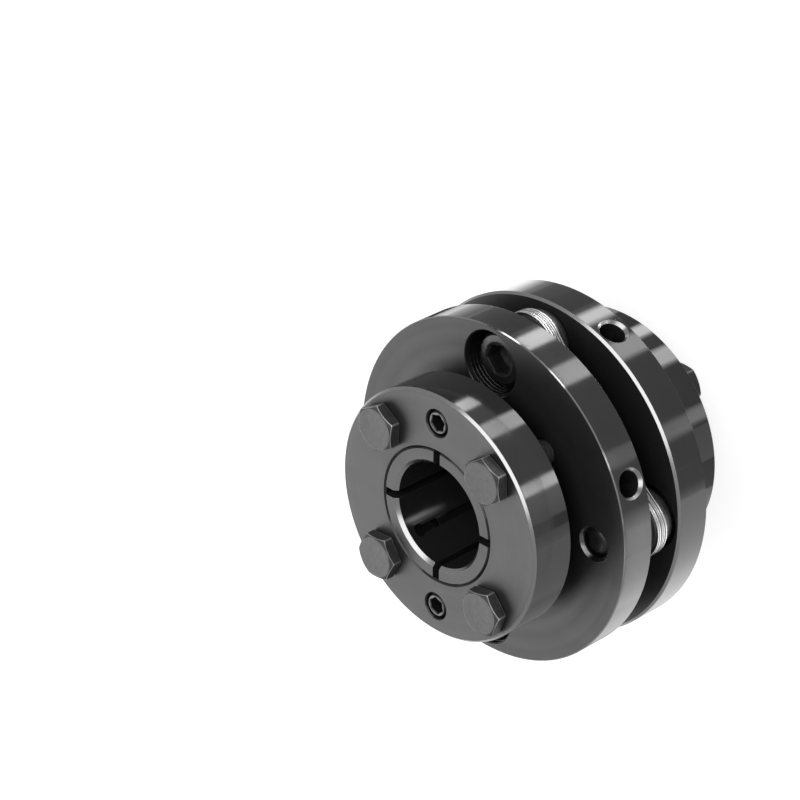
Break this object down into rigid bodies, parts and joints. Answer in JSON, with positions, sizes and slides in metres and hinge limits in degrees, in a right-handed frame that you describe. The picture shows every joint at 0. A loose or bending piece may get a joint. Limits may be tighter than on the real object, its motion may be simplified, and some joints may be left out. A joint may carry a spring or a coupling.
{
  "type": "disc coupling",
  "caption": "Flexible shaft coupling: a laminated steel disc pack bolted between round flanges, each with a clamp ring that closes a split taper sleeve on its shaft.",
  "frame": {"origin": "on the coupling's axis, midway through the disc pack", "axes": "+Z along the axis towards the front half, +X and +Y through the screws of the disc pack"},
  "size_m": [0.104, 0.104, 0.083],
  "materials": {
    "flange_steel": "turned, black oxide",
    "ring_steel": "turned, black oxide, bright chamfer",
    "sleeve_steel": "ground, black oxide",
    "bolt_steel": "forged head, black oxide",
    "screw_steel": "black oxide, oiled",
    "collar_steel": "turned, black oxide",
    "disc_steel": "bright rolled stainless"
  },
  "bodies": {
    "root": {"disc_lamination_1": "disc_steel", "disc_lamination_2": "disc_steel", "disc_lamination_3": "disc_steel", "disc_lamination_4": "disc_steel", "disc_lamination_5": "disc_steel", "front_clamp_bolt_1": "bolt_steel", "front_clamp_bolt_2": "bolt_steel", "front_clamp_bolt_3": "bolt_steel", "front_clamp_bolt_4": "bolt_steel", "front_clamp_ring": "ring_steel", "front_flange": "flange_steel", "front_jack_screw_1": "screw_steel", "front_jack_screw_2": "screw_steel", "front_pack_collar_1": "collar_steel", "front_pack_collar_2": "collar_steel", "front_pack_collar_3": "collar_steel", "front_pack_collar_4": "collar_steel", "front_pack_screw_1": "screw_steel", "front_pack_screw_2": "screw_steel", "front_taper_sleeve": "sleeve_steel", "rear_clamp_bolt_1": "bolt_steel", "rear_clamp_bolt_2": "bolt_steel", "rear_clamp_bolt_3": "bolt_steel", "rear_clamp_bolt_4": "bolt_steel", "rear_clamp_ring": "ring_steel", "rear_flange": "flange_steel", "rear_jack_screw_1": "screw_steel", "rear_jack_screw_2": "screw_steel", "rear_pack_collar_1": "collar_steel", "rear_pack_collar_2": "collar_steel", "rear_pack_collar_3": "collar_steel", "rear_pack_collar_4": "collar_steel", "rear_pack_screw_1": "screw_steel", "rear_pack_screw_2": "screw_steel", "rear_taper_sleeve": "sleeve_steel"}
  },
  "joints": []
}
